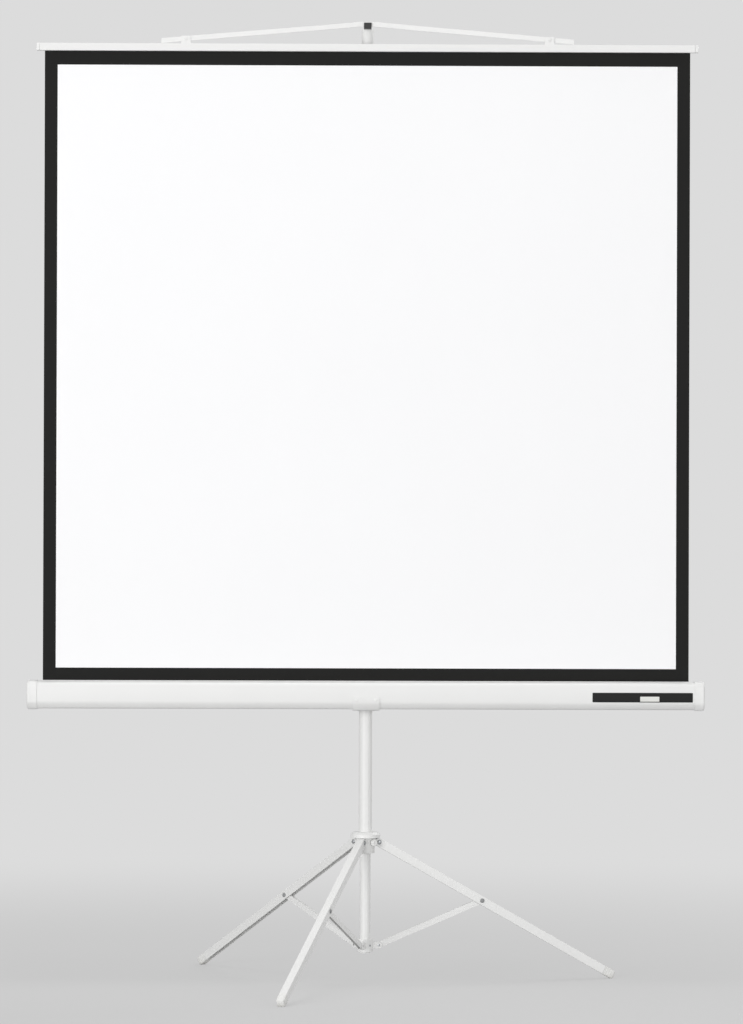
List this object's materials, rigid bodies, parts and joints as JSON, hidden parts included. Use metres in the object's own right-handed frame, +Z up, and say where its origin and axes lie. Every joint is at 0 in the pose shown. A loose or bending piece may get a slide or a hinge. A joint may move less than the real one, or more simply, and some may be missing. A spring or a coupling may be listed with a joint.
{
  "type": "tripod projection screen",
  "caption": "Portable matt white screen with a black border, drawn up from a spring roller case on a telescopic mast with folding tripod legs.",
  "frame": {"origin": "on the floor, in the middle of the width and depth of the opened screen", "axes": "+Z up along the mast, -Y the way that the screen faces, +X to the viewer's right"},
  "size_m": [1.627, 1.0716, 2.3209],
  "materials": {
    "powder_coat": "warm off-white powder coat, semi-gloss",
    "dark_rivet": "dark painted rivet",
    "pale_nylon": "moulded pale nylon",
    "black_nylon": "moulded black nylon",
    "grey_rubber": "moulded pale grey rubber",
    "zinc_steel": "bright zinc plate",
    "roller_aluminium": "drawn aluminium",
    "screen_cloth": "matt white coated fabric"
  },
  "bodies": {
    "post": {"post_tube": "powder_coat", "post_end_cap": "pale_nylon", "post_collar": "powder_coat", "collar_screw": "zinc_steel"},
    "mast": {"hub": "powder_coat", "mast_tube": "powder_coat", "post_bush": "black_nylon", "rod_bush": "black_nylon", "mast_clamp": "black_nylon", "hub_pin_right": "zinc_steel", "hub_pin_left": "zinc_steel", "hub_pin_front": "zinc_steel"},
    "leg_right": {"leg_right": "powder_coat", "foot_right": "grey_rubber", "brace_rivet_right": "dark_rivet"},
    "leg_left": {"leg_left": "powder_coat", "foot_left": "grey_rubber", "brace_rivet_left": "dark_rivet"},
    "leg_front": {"leg_front": "powder_coat", "foot_front": "grey_rubber", "brace_rivet_front": "dark_rivet"},
    "brace_right": {"brace_right": "powder_coat", "collar_pin_right": "zinc_steel"},
    "brace_left": {"brace_left": "powder_coat", "collar_pin_left": "zinc_steel"},
    "brace_front": {"brace_front": "powder_coat", "collar_pin_front": "zinc_steel"},
    "leg_knob": {"leg_lock_knob": "pale_nylon"},
    "rod_knob": {"rod_lock_knob": "black_nylon"},
    "rod": {"rod_tube": "powder_coat", "rod_cap": "pale_nylon", "bail_hook": "black_nylon"},
    "carriage": {"carriage": "powder_coat", "case_pivot_bolt": "zinc_steel", "lever_pin": "zinc_steel"},
    "lever": {"case_lock_lever": "black_nylon"},
    "case": {"case_saddle": "powder_coat", "case_shell": "powder_coat", "case_cap_left": "pale_nylon", "case_cap_right": "pale_nylon", "roller_gudgeon": "zinc_steel", "spring_spindle": "zinc_steel", "screen_fabric": "screen_cloth"},
    "roller": {"roller_tube": "roller_aluminium", "wound_fabric": "screen_cloth", "roller_spring": "zinc_steel"},
    "slat": {"slat_tube": "powder_coat", "bail": "powder_coat", "slat_cap_left": "pale_nylon", "slat_cap_right": "pale_nylon", "bail_bracket_left": "powder_coat", "bail_bracket_right": "powder_coat", "bail_rivet_left": "powder_coat", "bail_rivet_right": "powder_coat"}
  },
  "joints": [
    {"name": "tripod_fold", "type": "slide", "parent": "post", "child": "mast", "axis": [0, 0, 1], "range_m": [0, 0.3213]},
    {"name": "leg_right_hinge", "type": "hinge", "parent": "mast", "child": "leg_right", "pos_m": [0.03235, 0.06662, 0.339], "axis": [-0.1977, 0.9803, 0], "range_deg": [0, 62]},
    {"name": "leg_left_hinge", "type": "hinge", "parent": "mast", "child": "leg_left", "pos_m": [-0.02182, 0.08485, 0.339], "axis": [-0.7501, -0.6613, 0], "range_deg": [0, 62]},
    {"name": "leg_front_hinge", "type": "hinge", "parent": "mast", "child": "leg_front", "pos_m": [-0.01053, 0.02882, 0.339], "axis": [0.9478, -0.319, 0], "range_deg": [0, 62]},
    {"name": "brace_right_hinge", "type": "hinge", "parent": "leg_right", "child": "brace_right", "pos_m": [0.2832, 0.1172, 0.19426], "axis": [0.1977, -0.9803, 0], "range_deg": [0, 130]},
    {"name": "brace_left_hinge", "type": "hinge", "parent": "leg_left", "child": "brace_left", "pos_m": [-0.19106, 0.27681, 0.19426], "axis": [0.7501, 0.6613, 0], "range_deg": [0, 130]},
    {"name": "brace_front_hinge", "type": "hinge", "parent": "leg_front", "child": "brace_front", "pos_m": [-0.09215, -0.21372, 0.19426], "axis": [-0.9478, 0.319, 0], "range_deg": [0, 130]},
    {"name": "leg_knob_turn", "type": "hinge", "parent": "mast", "child": "leg_knob", "pos_m": [0, 0.0601, 0.339], "axis": [0.6613, -0.7501, 0], "continuous": true},
    {"name": "rod_knob_turn", "type": "hinge", "parent": "mast", "child": "rod_knob", "pos_m": [0, 0.0601, 1.316], "axis": [0, 1, 0], "continuous": true},
    {"name": "case_raise", "type": "slide", "parent": "mast", "child": "carriage", "axis": [0, 0, 1], "range_m": [0, 0.5]},
    {"name": "case_swivel", "type": "hinge", "parent": "carriage", "child": "case", "pos_m": [0, 0.0301, 0.696], "axis": [0, 1, 0], "range_deg": [0, 90.01]},
    {"name": "lever_swing", "type": "hinge", "parent": "carriage", "child": "lever", "pos_m": [0, 0.0895, 0.712], "axis": [1, 0, 0], "range_deg": [0, 100]},
    {"name": "screen_draw", "type": "slide", "parent": "case", "child": "slat", "axis": [0, 0, -1], "range_m": [0, 0.9], "deforming": ["screen_fabric"]},
    {"name": "rod_slide", "type": "slide", "parent": "mast", "child": "rod", "axis": [0, 0, -1], "range_m": [0, 0.9]},
    {"name": "roller_turn", "type": "hinge", "parent": "case", "child": "roller", "pos_m": [0, -0.0029, 0.696], "axis": [-1, 0, 0], "range_deg": [0, 3420]}
  ],
  "couplings": [
    {"joint": "leg_right_hinge", "follows": "tripod_fold", "rad_per_m": 3.2868},
    {"joint": "leg_left_hinge", "follows": "tripod_fold", "rad_per_m": 3.2868},
    {"joint": "leg_front_hinge", "follows": "tripod_fold", "rad_per_m": 3.2868},
    {"joint": "brace_right_hinge", "follows": "tripod_fold", "rad_per_m": 6.9716},
    {"joint": "brace_left_hinge", "follows": "tripod_fold", "rad_per_m": 6.9716},
    {"joint": "brace_front_hinge", "follows": "tripod_fold", "rad_per_m": 6.9716},
    {"joint": "case_swivel", "follows": "case_raise", "rad_per_m": 3.1416},
    {"joint": "rod_slide", "follows": "screen_draw", "ratio": 1},
    {"joint": "roller_turn", "follows": "screen_draw", "rad_per_m": 66.2}
  ]
}
